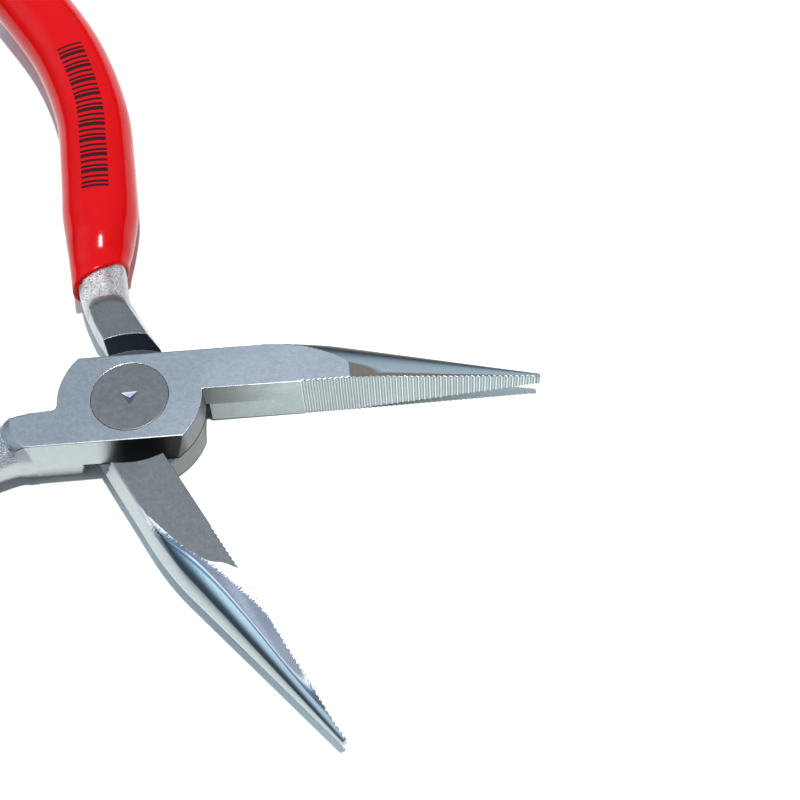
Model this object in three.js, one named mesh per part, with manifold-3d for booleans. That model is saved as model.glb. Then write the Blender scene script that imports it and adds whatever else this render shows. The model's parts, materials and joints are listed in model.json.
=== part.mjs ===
// Long half-round nose pliers: two identical forged halves in a lap joint, a rivet and dipped grips.
// Millimetres, +Z up. The rivet's axis is Z, the ground underside of the joint lies in z = 0,
// and +X halves the angle between the open jaws.
import * as THREE from "three";
import { mergeVertices } from "three/addons/utils/BufferGeometryUtils.js";
import Module from "manifold-3d";

const wasm = await Module();
wasm.setup();

// Driving dimensions.
const thickness = 9.5;
const headWidth = 15.5;
const jawReach = 64;
const handleReach = 96;
const rivetRadius = 6;
const gripWidth = 12.4;
const openAngle = THREE.MathUtils.degToRad(61.5);

// Head: a slab whose side walls lean out to a parting line at mid height.
const halfThickness = thickness / 2;
const halfWidth = headWidth / 2;
const sideDraft = 1.25;
const partingBand = 0.1;
const lugRadius = 11.3;
const recessRadius = lugRadius + 0.35;
const lapGap = 0.15;
const neckInnerY = -1.45;
const neckFillet = 0.9;
const neckEndX = -0.2 * handleReach;
const neckEndSlant = 4;
const overrun = 5;
const curveSegments = 24;

// Jaw: half of an elliptical cone that stands on the gripping face.
const faceGapAtJoint = 0.38;
const faceGapAtTip = 0.1;
const tipDepth = 0.9;
const tipHalfHeight = 1.05;
const depthTaper = 0.2185;
const heightTaper = 0.119;
const coneStartX = 17.9;
const coneSides = 48;
const coneOverrun = 1;

// Teeth across the gripping face.
const toothPitch = 0.87;
const toothDepth = 0.32;
const toothedStartX = 26.5;

// Rivet: a spool with two flush heads that hold the lap plates together.
const rivetShankRadius = 4.4;
const rivetHeadDepth = 2.2;
const rivetClearance = 0.08;
const dimpleRadius = 1;
const dimpleDepth = 0.6;
const roundSides = 64;

// Handle: a tang that follows one bowed centre line, inside a dipped grip.
const tangWidth = 8;
const tangEndWidth = 6.6;
const gripFrontWidth = 9.2;
const gripStart = 14.9;
const gripRound = 6;
const tangGap = 0.3;
const gripFlatness = 0.88;
const gripSwellLength = 16;
const gripWaist = 0.25;
const gripEndCover = 1.5;
const lipRadius = 0.4;
const handleSides = 24;

// The tang runs from inside the neck to short of the grip's end. All are distances along the centre line.
const shankStart = 4;
const shankFit = 0.98;
const shankBlendStart = 6;
const shankBlendEnd = 12;
const tangTipInset = 7;
const tangStep = 4;

const centreLine = new THREE.CatmullRomCurve3([
  new THREE.Vector3(-10, -4.7, 0),
  new THREE.Vector3(-18, -5.2, 0),
  new THREE.Vector3(-24.5, -7, 0),
  new THREE.Vector3(-37.5, -13.4, 0),
  new THREE.Vector3(-47.5, -18, 0),
  new THREE.Vector3(-58, -22.3, 0),
  new THREE.Vector3(-74, -25.3, 0),
  new THREE.Vector3(-handleReach, -25, 0),
]);
const handleLength = centreLine.getLength();

function toSolid(geometry) {
  geometry.deleteAttribute("normal");
  geometry.deleteAttribute("uv");
  const merged = mergeVertices(geometry, 1e-4);
  return new wasm.Manifold(
    new wasm.Mesh({
      numProp: 3,
      vertProperties: new Float32Array(merged.attributes.position.array),
      triVerts: new Uint32Array(merged.index.array),
    }),
  );
}

function toGeometry(solid) {
  const mesh = solid.getMesh();
  const geometry = new THREE.BufferGeometry();
  geometry.setAttribute("position", new THREE.BufferAttribute(mesh.vertProperties, 3));
  geometry.setIndex(new THREE.BufferAttribute(mesh.triVerts, 1));
  geometry.computeVertexNormals();
  return geometry;
}

function prism(shape, low, high) {
  const geometry = new THREE.ExtrudeGeometry(shape, {
    depth: high - low,
    bevelEnabled: false,
    curveSegments,
  });
  return toSolid(geometry.translate(0, 0, low));
}

function block(x0, x1, y0, y1, z0, z1) {
  const geometry = new THREE.BoxGeometry(x1 - x0, y1 - y0, z1 - z0);
  return toSolid(geometry.translate((x0 + x1) / 2, (y0 + y1) / 2, (z0 + z1) / 2));
}

function disc(radius, low, high) {
  const geometry = new THREE.CylinderGeometry(radius, radius, high - low, roundSides);
  geometry.rotateX(Math.PI / 2);
  return toSolid(geometry.translate(0, 0, (low + high) / 2));
}

// The slab of the head and jaw, between its ground faces, widest at the parting line.
function draftedSlab() {
  const shape = new THREE.Shape([
    new THREE.Vector2(neckEndX - overrun, -halfWidth),
    new THREE.Vector2(jawReach + overrun, -halfWidth),
    new THREE.Vector2(jawReach + overrun, halfWidth),
    new THREE.Vector2(neckEndX - overrun, halfWidth),
  ]);
  const geometry = new THREE.ExtrudeGeometry(shape, {
    depth: partingBand,
    bevelThickness: (thickness - partingBand) / 2,
    bevelSize: sideDraft,
    bevelSegments: 1,
  });
  return toSolid(geometry.translate(0, 0, -partingBand / 2));
}

// The plan of one half: gripping face, lug arcs about the pivot, and the neck with its slanted end.
function planOutline() {
  const reach = halfWidth + 2 * sideDraft;
  const arcEnd = Math.asin(reach / lugRadius);
  const shape = new THREE.Shape();
  shape.moveTo(jawReach, faceGapAtTip);
  shape.lineTo(jawReach, reach);
  shape.lineTo(-lugRadius * Math.cos(arcEnd), reach);
  shape.absarc(0, 0, lugRadius, Math.PI - arcEnd, Math.PI, false);
  shape.lineTo(-lugRadius, neckInnerY + neckFillet);
  shape.absarc(-lugRadius - neckFillet, neckInnerY + neckFillet, neckFillet, 0, -Math.PI / 2, true);
  shape.lineTo(neckEndX, neckInnerY);
  shape.lineTo(neckEndX + neckEndSlant, -reach);
  shape.lineTo(lugRadius * Math.cos(arcEnd), -reach);
  shape.absarc(0, 0, lugRadius, -arcEnd, Math.asin(faceGapAtJoint / lugRadius), false);
  return shape;
}

// Everything that the cone of the jaw leaves: the cone itself, and the head behind it.
function noseEnvelope() {
  const length = jawReach - coneStartX + 2 * coneOverrun;
  const geometry = new THREE.CylinderGeometry(1, 1, 1, coneSides, 1);
  const position = geometry.attributes.position;
  for (let i = 0; i < position.count; i++) {
    const x = jawReach + coneOverrun - length * (position.getY(i) + 0.5);
    const depth = tipDepth + depthTaper * (jawReach - x);
    const height = tipHalfHeight + heightTaper * (jawReach - x);
    position.setXYZ(i, x, position.getX(i) * depth, position.getZ(i) * height);
  }
  geometry.translate(0, faceGapAtJoint, 0);
  const head = block(neckEndX - overrun, coneStartX, -headWidth, headWidth, -thickness, thickness);
  return toSolid(geometry).add(head);
}

// Saw teeth along the gripping face, as one comb that is cut away.
function toothComb() {
  const count = Math.floor((jawReach - toothedStartX) / toothPitch);
  const slope = (faceGapAtTip - faceGapAtJoint) / (jawReach - lugRadius);
  const shape = new THREE.Shape();
  shape.moveTo(toothedStartX, -overrun);
  for (let i = 0; i < count; i++) {
    const x = toothedStartX + i * toothPitch;
    const face = faceGapAtJoint + slope * (x - lugRadius);
    shape.lineTo(x, face);
    shape.lineTo(x + toothPitch / 2, face + toothDepth);
  }
  shape.lineTo(toothedStartX + count * toothPitch, faceGapAtTip);
  shape.lineTo(toothedStartX + count * toothPitch, -overrun);
  return prism(shape, -thickness, thickness);
}

// A lathed bar laid along the centre line: profile points are [distance, half width].
function bentBar(profile, flatness) {
  const points = profile.map(([distance, half]) => new THREE.Vector2(half, distance));
  const geometry = new THREE.LatheGeometry(points, handleSides);
  const position = geometry.attributes.position;
  const up = new THREE.Vector3(0, 0, 1);
  for (let i = 0; i < position.count; i++) {
    const distance = position.getY(i);
    const along = THREE.MathUtils.clamp(distance / handleLength, 0, 1);
    const tangent = centreLine.getTangentAt(along);
    const side = new THREE.Vector3().crossVectors(tangent, up);
    const point = centreLine.getPointAt(along);
    point.addScaledVector(tangent, distance - along * handleLength);
    point.addScaledVector(side, position.getX(i));
    point.addScaledVector(up, position.getZ(i) * flatness(distance));
    position.setXYZ(i, point.x, point.y, point.z);
  }
  return toSolid(geometry);
}

// Half width of the tang, and of the hole that it fills in its grip when grown by a gap.
function tangProfile(from, to, grow) {
  const steps = Math.round((to - from) / tangStep);
  const profile = [[from, 0]];
  for (let i = 0; i <= steps; i++) {
    const distance = from + ((to - from) * i) / steps;
    const share = THREE.MathUtils.clamp((distance - gripStart) / (handleLength - gripStart), 0, 1);
    profile.push([distance, THREE.MathUtils.lerp(tangWidth, tangEndWidth, share) / 2 + grow]);
  }
  profile.push([to, 0]);
  return profile;
}

// The shank is as thick as the head at the neck and thins to the tang before the grip.
function tangFlatness(distance) {
  const share = THREE.MathUtils.smoothstep(distance, shankBlendStart, shankBlendEnd);
  return THREE.MathUtils.lerp(shankFit * (thickness / tangWidth), gripFlatness, share);
}

// Front lip, swell to the palm, a slight waist, and a round end.
function gripProfile() {
  const swell = gripWidth / 2;
  const front = gripFrontWidth / 2;
  const swellEnd = gripStart + gripSwellLength;
  const end = handleLength + gripEndCover;
  const roundStart = end - gripRound;
  const profile = [[gripStart, 0], [gripStart, front - lipRadius / 2], [gripStart + lipRadius, front]];
  const swellSteps = 5;
  for (let i = 1; i <= swellSteps; i++) {
    const share = THREE.MathUtils.smoothstep(i / swellSteps, 0, 1);
    const distance = THREE.MathUtils.lerp(gripStart, swellEnd, i / swellSteps);
    profile.push([distance, THREE.MathUtils.lerp(front, swell, share)]);
  }
  const palmSteps = 9;
  for (let i = 1; i <= palmSteps; i++) {
    const share = i / palmSteps;
    const distance = THREE.MathUtils.lerp(swellEnd, roundStart, share);
    profile.push([distance, swell - gripWaist * Math.sin(1.5 * Math.PI * share)]);
  }
  const roundSteps = 5;
  for (let i = 1; i < roundSteps; i++) {
    const angle = (Math.PI / 2) * (i / roundSteps);
    profile.push([roundStart + gripRound * Math.sin(angle), (swell + gripWaist) * Math.cos(angle)]);
  }
  profile.push([end, 0]);
  return profile;
}

function forgedHalf() {
  const head = draftedSlab()
    .intersect(prism(planOutline(), -thickness, thickness))
    .intersect(noseEnvelope())
    .subtract(toothComb());
  const shank = bentBar(tangProfile(shankStart, handleLength - tangTipInset, 0), tangFlatness);
  return head
    .add(shank)
    .subtract(disc(recessRadius, -thickness, lapGap / 2))
    .subtract(disc(rivetShankRadius + rivetClearance, -thickness, thickness))
    .subtract(disc(rivetRadius + rivetClearance, halfThickness - rivetHeadDepth, thickness));
}

function dippedGrip() {
  const cavityStart = gripStart - tangStep;
  const cavityEnd = handleLength - tangTipInset + tangGap;
  const cavity = bentBar(tangProfile(cavityStart, cavityEnd, tangGap), tangFlatness);
  return bentBar(gripProfile(), () => gripFlatness).subtract(cavity);
}

// The rivet's heads are one clearance shallower than their seats, and its top has a punch mark.
function rivetGeometry() {
  const seat = halfThickness - rivetHeadDepth + rivetClearance;
  const points = [
    new THREE.Vector2(0, -halfThickness),
    new THREE.Vector2(rivetRadius, -halfThickness),
    new THREE.Vector2(rivetRadius, -seat),
    new THREE.Vector2(rivetShankRadius, -seat),
    new THREE.Vector2(rivetShankRadius, seat),
    new THREE.Vector2(rivetRadius, seat),
    new THREE.Vector2(rivetRadius, halfThickness),
    new THREE.Vector2(dimpleRadius, halfThickness),
    new THREE.Vector2(0, halfThickness - dimpleDepth),
  ];
  return new THREE.LatheGeometry(points, roundSides).rotateX(Math.PI / 2);
}

const steel = { color: 0x8f979f, roughness: 0.35, metalness: 1 };
const rivetSteel = { color: 0x77726e, roughness: 0.4, metalness: 1 };
const redDip = { color: 0xd0141c, roughness: 0.25, metalness: 0 };

function makeMesh(name, geometry, finish) {
  const mesh = new THREE.Mesh(geometry, new THREE.MeshStandardMaterial(finish));
  mesh.name = name;
  return mesh;
}

const pliers = new THREE.Group();
const halfGeometry = toGeometry(forgedHalf());
const gripGeometry = toGeometry(dippedGrip());

// The two halves are the same forging: the lower one is turned over about the jaws' centre line.
for (const [side, turnedOver, swing] of [["upper", 0, 1], ["lower", Math.PI, -1]]) {
  const half = new THREE.Group();
  half.position.z = halfThickness;
  half.rotation.set(turnedOver, 0, (swing * openAngle) / 2, "ZYX");
  half.add(makeMesh(side + "_jaw_half", halfGeometry, steel));
  half.add(makeMesh(side + "_grip", gripGeometry, redDip));
  pliers.add(half);
}
const rivet = makeMesh("pivot_rivet", rivetGeometry(), rivetSteel);
rivet.position.z = halfThickness;
pliers.add(rivet);

export default pliers;
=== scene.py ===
# Long half-round nose pliers: the looks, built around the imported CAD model.
# Lengths are in millimetres in the "half frame" that both forgings share: the rivet's axis at the origin,
# +X along the closed jaws to the tips, +Y towards the back of the jaw, and z = 0 at mid thickness.
import json
import math
from types import SimpleNamespace

import bpy
import numpy as np
from mathutils import Matrix, Vector, noise


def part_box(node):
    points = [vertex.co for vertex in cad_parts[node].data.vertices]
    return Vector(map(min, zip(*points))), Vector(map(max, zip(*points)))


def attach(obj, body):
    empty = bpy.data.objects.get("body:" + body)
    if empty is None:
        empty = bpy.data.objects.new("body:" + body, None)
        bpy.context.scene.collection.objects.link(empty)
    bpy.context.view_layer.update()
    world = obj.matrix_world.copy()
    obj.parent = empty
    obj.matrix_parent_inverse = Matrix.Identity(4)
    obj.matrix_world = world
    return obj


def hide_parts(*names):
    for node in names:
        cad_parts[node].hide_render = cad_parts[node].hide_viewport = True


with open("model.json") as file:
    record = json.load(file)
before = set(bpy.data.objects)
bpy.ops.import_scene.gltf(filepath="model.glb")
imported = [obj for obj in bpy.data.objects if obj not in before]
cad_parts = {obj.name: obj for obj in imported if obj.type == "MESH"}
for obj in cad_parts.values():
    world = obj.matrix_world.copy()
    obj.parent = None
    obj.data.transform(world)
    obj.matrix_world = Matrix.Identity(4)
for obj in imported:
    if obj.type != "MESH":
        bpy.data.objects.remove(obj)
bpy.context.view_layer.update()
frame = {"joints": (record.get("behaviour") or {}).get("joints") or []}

# ---------------------------------------------------------------- sizes, from the frame
MM = 0.001
rivet_low, rivet_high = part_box("pivot_rivet")
upper_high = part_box("upper_jaw_half")[1]
OPEN_ANGLE = math.radians(frame["joints"][0]["range_deg"][1])
THICKNESS = (rivet_high.z - rivet_low.z) / MM
TOP = THICKNESS / 2
RIVET_RADIUS = (rivet_high.x - rivet_low.x) / 2 / MM
FACE_GAP_TIP = 0.1
REACH = (upper_high.x / MM + FACE_GAP_TIP * math.sin(OPEN_ANGLE / 2)) / math.cos(OPEN_ANGLE / 2)

# Head: side walls lean out to a parting line at mid thickness.
WALL_TOP = 7.75
WALL_MID = 9.0
LEAN = (WALL_MID - WALL_TOP) / TOP
LUG_RADIUS = 11.3
RECESS_RADIUS = 11.65
LAP_Z = 0.075
NECK_INNER_Y = -1.45
NECK_INNER_BEND = 0.019
NECK_BEND_X = -12
NECK_END_X = -18.4
NECK_END_BOW = 0.075
NECK_END_BOW_Y = -2
NECK_END_SLOPE = math.radians(27)
NECK_OVERRUN = 1.2
EDGE = 0.14
FINE_EDGE = 0.09
NECK_EDGE = 0.04
NECK_EDGE_X = -15

# Roundings where the head's surfaces meet, and the X from which some of them hold.
PARTING_ROUND = 0.2
SHOULDER_FILLET = 0.1
NECK_FILLET = 1.05
NECK_END_ROUND = 1.0
NECK_SLOPE_ROUND = 0.05
SHANK_FILLET = 0.9
SHANK_FILLET_X = -10
NOSE_BLEND = 1.1
NOSE_BLEND_X = 12

# Jaw: half of an oval cone on the gripping face, with a ground facet that starts at the end of the flat.
# A grind has the taper of the cone's half height, the oval's squareness, the point where the facet starts
# on the flat, and the facet's slopes: along the jaw, across it, and how fast the latter steepens.
FACE_GAP_ROOT = 0.38
TIP_DEPTH = 0.9
TIP_HALF_HEIGHT = 1.05
DEPTH_TAPER = 0.2185
GRINDS = {
    "upper": {"taper": 0.127, "squareness": 3.1, "start": (33.9, 0.1), "slopes": (0.105, 0.0, 0.0)},
    "lower": {"taper": 0.134, "squareness": 2.0, "start": (32.1, 2.0), "slopes": (0.122, 0.012, 0.05)},
}
EDGE_RISE = 0.195
EDGE_RISE_BEND = 0.5
FACET_X = 20
FACET_EDGE = 0.03
SHARP_EDGE = 0.02
SHARP_EDGE_X = 17.5
SHARP_EDGE_Y = 1.2
TIP_ROUND = 0.25
TOOTH_PITCH = 0.87
TOOTH_DEPTH = 0.21
TOOTHED_START = 26.5
TOOTHLESS_TIP = 0.6
TOOTH_FIELD_SLOPE = 1.2

# Handles: one bowed centre line for the tang and its dipped grip.
LINE_POINTS = [(-10, -4.7), (-18, -5.2), (-24.5, -7), (-37.5, -13.4),
               (-47.5, -18), (-58, -22.3), (-74, -25.3), (-96, -25)]
GRIP_START = 14.9
GRIP_SWELL_LENGTH = 16
GRIP_FRONT_WIDTH = 9.6
GRIP_OFFSET = 0.25
COAT_OFFSET_START = 0.1
COAT_OFFSET_FADE = 0.4
GRIP_FRONT_SHIFT = 0.4
GRIP_FRONT_SLANT = 0.36
GRIP_FRONT_FADE = 7
GRIP_WIDTH = 12.8
GRIP_WAIST = 0.05
GRIP_END_COVER = 1.5
GRIP_ROUND = 6
GRIP_FLATNESS = 0.88
GRIP_LIP = 0.42
GRIP_BORE_GAP = 0.05
GRIP_SQUARENESS = 2.15
GRIP_RISE_START = 2.3
GRIP_RISE_LENGTH = 6
TANG_WIDTH = 8
TANG_END_WIDTH = 6.6
TANG_INSET = 0.15
TANG_OVERLAP = 2
TANG_SHORTFALL = 7
TANG_END_GAP = 0.3
SHANK_SQUARENESS = 2.7
SHANK_ROOT_WIDTH = 7.3
SHANK_ROOT_HEIGHT = 4.55
SHANK_THIN_START = 16
SHANK_THIN_LENGTH = 9
SHANK_START = 15.5
SHANK_END = 28
SHANK_END_ROUND = 0.5
DENT_DEPTH = 0.035
DENTS_PER_MM = 1.7
FINE_DENTS_PER_MM = 3.3
FINE_DENT_SHARE = 0.5
DENTS_START = 0.2
DENTS_FADE = 1.6
DENTS_END_X = -27.5
FIELD_NORMALS_X = -15

# Rivet: two heads on a shank, with a three-sided punch mark in the upper one.
RIVET_SHANK_RADIUS = 4.4
RIVET_HEAD_DEPTH = 2.2
RIVET_HEAD_CLEARANCE = 0.08
RIVET_SUNK = 0.004
RIVET_RIM = 0.05
RIVET_RIM_IN = 0.012
RIVET_RIM_DOWN = 0.014
RIVET_FIRST_RING = 0.12
SEAT_GAP = 0.02
BORE_GAP = 0.05
BORE_EDGE = 0.008
DIMPLE_DEPTH = 0.36
DIMPLE_RADIUS = 0.75
DIMPLE_TURNS = [math.radians(t) for t in (92, 212, 332)]

# Finishes of the nose: the matte wall's share of its height, and the share of its depth that the painted
# glint strip along the lower jaw's edge covers, which falls by the fade below for each millimetre to the
# tip.
WALL_SHARE = 0.53
GLINT_SHARE = 0.40
GLINT_FADE = 0.034

# Painted shade: the X where each patch starts, is full, begins to fade and ends, and how dark the painted
# shade in the bend after the joint's corner and on the lug's rim is against the corner itself.
CORNER_SHADE_X = (-5.5, -0.5, 7.5, 10.5)
CORNER_SHADE_Y = -7
BEND_SHADE_X = (4, 8, 12, 25)
BEND_SHADE = 0.7
RIM_SHADE = 0.58
RIM_SHADE_REACH = 0.25

# Printed bars, as distances along the handle and across it.
BARS_START = 31.3
BARS_END = 64.8
BARS_LOW = -2.3
BARS_HIGH = 1.9
BAR_SPACING = 1.15


# ---------------------------------------------------------------- the handles' centre line
def centre_line(points, per_span=24):
    """A centripetal Catmull-Rom curve as dense points in the XY plane."""
    p = np.array(points, float)
    p = np.vstack([2 * p[0] - p[1], p, 2 * p[-1] - p[-2]])
    rows = []
    for a, b, c, d in zip(p, p[1:], p[2:], p[3:]):
        ab, bc, cd = (math.sqrt(np.linalg.norm(v)) for v in (b - a, c - b, d - c))
        start = ((b - a) / ab - (c - a) / (ab + bc) + (c - b) / bc) * bc
        end = ((c - b) / bc - (d - b) / (bc + cd) + (d - c) / cd) * bc
        for t in np.arange(per_span) / per_span:
            h = 2 * t ** 3 - 3 * t ** 2 + 1
            rows.append(h * b + (1 - h) * c + (t ** 3 - 2 * t ** 2 + t) * start + (t ** 3 - t ** 2) * end)
    return np.array(rows + [p[-2]])


LINE = centre_line(LINE_POINTS)
LINE_S = np.concatenate([[0], np.cumsum(np.linalg.norm(np.diff(LINE, axis=0), axis=1))])
HANDLE_LENGTH = LINE_S[-1]


def on_line(distance):
    """Point and unit tangent on the centre line at a distance, running on straight past its end."""
    inside = np.clip(distance, 0, HANDLE_LENGTH)
    point = np.array([np.interp(inside, LINE_S, LINE[:, k]) for k in (0, 1)]).T
    step = 0.5
    ahead = np.clip(inside + step, 0, HANDLE_LENGTH)
    behind = np.clip(inside - step, 0, HANDLE_LENGTH)
    tangent = np.array([np.interp(ahead, LINE_S, LINE[:, k]) - np.interp(behind, LINE_S, LINE[:, k])
                        for k in (0, 1)]).T
    tangent /= np.linalg.norm(tangent, axis=-1, keepdims=True)
    return point + tangent * (distance - inside)[:, None], tangent


# ---------------------------------------------------------------- solid shapes as distance fields
def cut(a, b, r):
    """What a and b share, with its edge rounded by about r."""
    return np.maximum(a, b) + np.maximum(r - np.abs(a - b), 0) ** 2 / (4 * r)


def join(a, b, r):
    """a and b together, with a fillet of about r between them."""
    return np.minimum(a, b) - np.maximum(r - np.abs(a - b), 0) ** 2 / (4 * r)


def step_up(t):
    """Smoothly from 0 at t = 0 to 1 at t = 1."""
    t = np.clip(t, 0, 1)
    return t * t * (3 - 2 * t)


def stretch(x, place):
    """Smoothly up from 0 to 1 and down again, over the four coordinates of a place."""
    start, full, fade, end = place
    return step_up((x - start) / (full - start)) * step_up((end - x) / (end - fade))


def gripping_line(x):
    """Distance of the gripping face from the jaws' centre line."""
    return FACE_GAP_ROOT + (FACE_GAP_TIP - FACE_GAP_ROOT) * (x - LUG_RADIUS) / (REACH - LUG_RADIUS)


def tooth_wave(x):
    """Depth of the gripping face below its crests: 0 on a crest, TOOTH_DEPTH in a groove."""
    turn = (x - TOOTHED_START) / TOOTH_PITCH
    wave = 1 - np.abs(2 * (turn - np.floor(turn)) - 1)
    toothed = (x > TOOTHED_START) & (x < REACH - TOOTHLESS_TIP)
    return np.where(toothed, TOOTH_DEPTH * wave, 0)


def nose_size(x, height_taper):
    """Depth and half height of the jaw's cone."""
    return TIP_DEPTH + DEPTH_TAPER * (REACH - x), TIP_HALF_HEIGHT + height_taper * (REACH - x)


def oval_field(u, v, half_width, half_height, squareness):
    """A superellipse of u and v, which are shares of the half width and half height."""
    n = squareness
    size = (u ** n + v ** n) ** (1 / n) + 1e-9
    slope = np.hypot((u / size) ** (n - 1) / half_width, (v / size) ** (n - 1) / half_height)
    return (size - 1) / slope


def cone_field(x, y, z, grind):
    """The half-round nose without its facet."""
    depth, height = nose_size(x, grind["taper"])
    across = np.abs(y - FACE_GAP_TIP) / depth
    return oval_field(across, np.abs(z) / height, depth, height, grind["squareness"])


def facet_field(x, y, z, grind):
    """The long facet beside the gripping edge, which falls to the tip and, ever steeper, to the back."""
    start_x, start_y = grind["start"]
    along, across, bow = grind["slopes"]
    side = np.maximum(y - start_y, 0)
    inwards = (start_y - y + np.hypot(start_y - y, EDGE_RISE_BEND)) / 2
    fall = along * (x - start_x) + across * side + bow * side ** 2 - EDGE_RISE * inwards
    return (np.abs(z) - TOP + fall) / np.hypot(1, np.hypot(along, across + 2 * bow * side))


def neck_end_distance(x, y):
    """How far a point lies behind the bowed end of the neck's ground faces."""
    side = np.minimum(y - NECK_END_BOW_Y, 0)
    return (NECK_END_X + NECK_END_BOW * side ** 2 - x) / np.hypot(1, 2 * NECK_END_BOW * side)


def shank_field(x, y, z):
    """The forged shank behind the neck, a little thicker than the ground head, which thins to the tang."""
    line_y = np.interp(-x, -LINE[:, 0], LINE[:, 1])
    slope = np.gradient(LINE[:, 1], LINE[:, 0])
    square = 1 / np.hypot(1, np.interp(-x, -LINE[:, 0], slope))
    thin = step_up((-x - SHANK_THIN_START) / SHANK_THIN_LENGTH)
    half_height = SHANK_ROOT_HEIGHT + (TANG_WIDTH * GRIP_FLATNESS / 2 - SHANK_ROOT_HEIGHT) * thin
    half_width = (SHANK_ROOT_WIDTH + (TANG_WIDTH - SHANK_ROOT_WIDTH) * thin) / 2
    bar = oval_field(np.abs((y - line_y) * square) / half_width, np.abs(z) / half_height,
                     half_width, half_height, SHANK_SQUARENESS)
    ends = cut(x + SHANK_START, -x - SHANK_END, SHANK_END_ROUND)
    return cut(bar, ends, SHANK_END_ROUND)


def forging_field(x, y, z, grind):
    """One forged half, tang left out: negative inside, and close to a distance near the surface."""
    rise = np.hypot(z, PARTING_ROUND)
    wall = WALL_MID - LEAN * rise
    across = math.hypot(1, LEAN)
    walls = np.maximum((y - wall) / across, (-y - wall) / across)
    radius = np.hypot(x, y)
    lug = radius - LUG_RADIUS
    jaw = np.maximum(gripping_line(x) + tooth_wave(x) - y, -x)
    jaw = jaw / np.where(x > TOOTHED_START, TOOTH_FIELD_SLOPE, 1.0)
    behind = neck_end_distance(x, y)
    inner_wall = NECK_INNER_Y - NECK_INNER_BEND * np.maximum(NECK_BEND_X - x, 0) ** 2
    neck = cut(np.maximum(y - inner_wall, x), behind - NECK_OVERRUN, NECK_END_ROUND)
    plan = join(join(lug, jaw, SHOULDER_FILLET), neck, NECK_FILLET)
    nose = cut(walls, cone_field(x, y, z, grind), NOSE_BLEND)
    sides = np.where(x > NOSE_BLEND_X, nose, walls)
    body = cut(plan, sides, FINE_EDGE)
    top = np.abs(z) - TOP
    slope_down = behind * math.sin(NECK_END_SLOPE) + top * math.cos(NECK_END_SLOPE)
    shank = join(cut(body, slope_down, NECK_SLOPE_ROUND), shank_field(x, y, z), SHANK_FILLET)
    body = np.where(x < SHANK_FILLET_X, shank, body)
    sharp = (x > SHARP_EDGE_X) & (y > SHARP_EDGE_Y)
    top_edge = np.where(sharp, SHARP_EDGE, np.where(x < NECK_EDGE_X, NECK_EDGE, EDGE))
    body = cut(body, top, top_edge)
    body = np.where(x > FACET_X, cut(body, facet_field(x, y, z, grind), FACET_EDGE), body)
    body = cut(body, x - REACH, TIP_ROUND)
    recess = np.maximum(z - LAP_Z, radius - RECESS_RADIUS)
    body = cut(body, -recess, FINE_EDGE)
    seat = np.maximum(radius - RIVET_RADIUS - SEAT_GAP, TOP - RIVET_HEAD_DEPTH - z)
    bore = np.minimum(radius - RIVET_SHANK_RADIUS - BORE_GAP, seat)
    return cut(body, -bore, BORE_EDGE)


def surface_net(field, grid):
    """Closed quad mesh of field = 0 on a grid of three coordinate lists: a vertex in each crossed cell."""
    xs, ys, zs = grid
    values = field(xs[:, None, None], ys[None, :, None], zs[None, None, :]).astype(np.float32)
    inside = values < 0
    shape = tuple(n - 1 for n in values.shape)
    corners = [(i, j, k) for i in (0, 1) for j in (0, 1) for k in (0, 1)]
    filled = sum(inside[i:i + shape[0], j:j + shape[1], k:k + shape[2]].astype(np.int8)
                 for i, j, k in corners)
    cells = np.argwhere((filled > 0) & (filled < 8))
    index = np.full(shape, -1, np.int32)
    index[tuple(cells.T)] = np.arange(len(cells))
    total = np.zeros((len(cells), 3))
    count = np.zeros(len(cells))
    quads = []
    for axis in range(3):
        ahead = np.eye(3, dtype=int)[axis]
        others = [k for k in range(3) if k != axis]
        for i in (0, 1):
            for j in (0, 1):
                start = cells.copy()
                start[:, others[0]] += i
                start[:, others[1]] += j
                a, b = values[tuple(start.T)], values[tuple((start + ahead).T)]
                hit = (a < 0) != (b < 0)
                share = np.where(hit, a / np.where(hit, a - b, 1), 0)
                low = np.stack([grid[k][start[:, k]] for k in range(3)], 1)
                low[:, axis] += share * (grid[axis][start[:, axis] + 1] - grid[axis][start[:, axis]])
                total += low * hit[:, None]
                count += hit
        near = np.moveaxis(inside, axis, 0)
        edges = np.argwhere(near[:-1] != near[1:])
        going_out = near[:-1][tuple(edges.T)]
        base = np.zeros_like(edges)
        base[:, axis] = edges[:, 0]
        base[:, others[0]] = edges[:, 1]
        base[:, others[1]] = edges[:, 2]
        ring = []
        for i, j in ((0, 0), (1, 0), (1, 1), (0, 1)):
            cell = base.copy()
            cell[:, others[0]] -= i
            cell[:, others[1]] -= j
            ring.append(index[tuple(cell.T)])
        ring = np.stack(ring, 1)
        flip = going_out if axis != 1 else ~going_out
        quads.append(np.where(flip[:, None], ring, ring[:, ::-1]))
    return total / count[:, None], np.concatenate(quads)


def gradient(field, points, reach=0.004):
    """Gradient of a field at each point."""
    columns = []
    for axis in range(3):
        shift = np.zeros(3)
        shift[axis] = reach
        columns.append((field(*(points + shift).T) - field(*(points - shift).T)) / (2 * reach))
    return np.stack(columns, 1)


def settle(field, points, rounds=4, most=0.12):
    """Moves points onto the surface where the field is zero."""
    for _ in range(rounds):
        slope = gradient(field, points)
        move = -field(*points.T)[:, None] * slope / np.maximum((slope ** 2).sum(1), 1e-6)[:, None]
        length = np.linalg.norm(move, axis=1, keepdims=True)
        points = points + move * np.minimum(1, most / np.maximum(length, 1e-9))
    return points


def spaced(*stretches):
    """Grid coordinates from (start, end, spacing) stretches that follow on each other."""
    parts = [np.linspace(a, b, max(2, round((b - a) / d) + 1))[:-1] for a, b, d in stretches]
    return np.concatenate(parts + [[stretches[-1][1]]])


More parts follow.
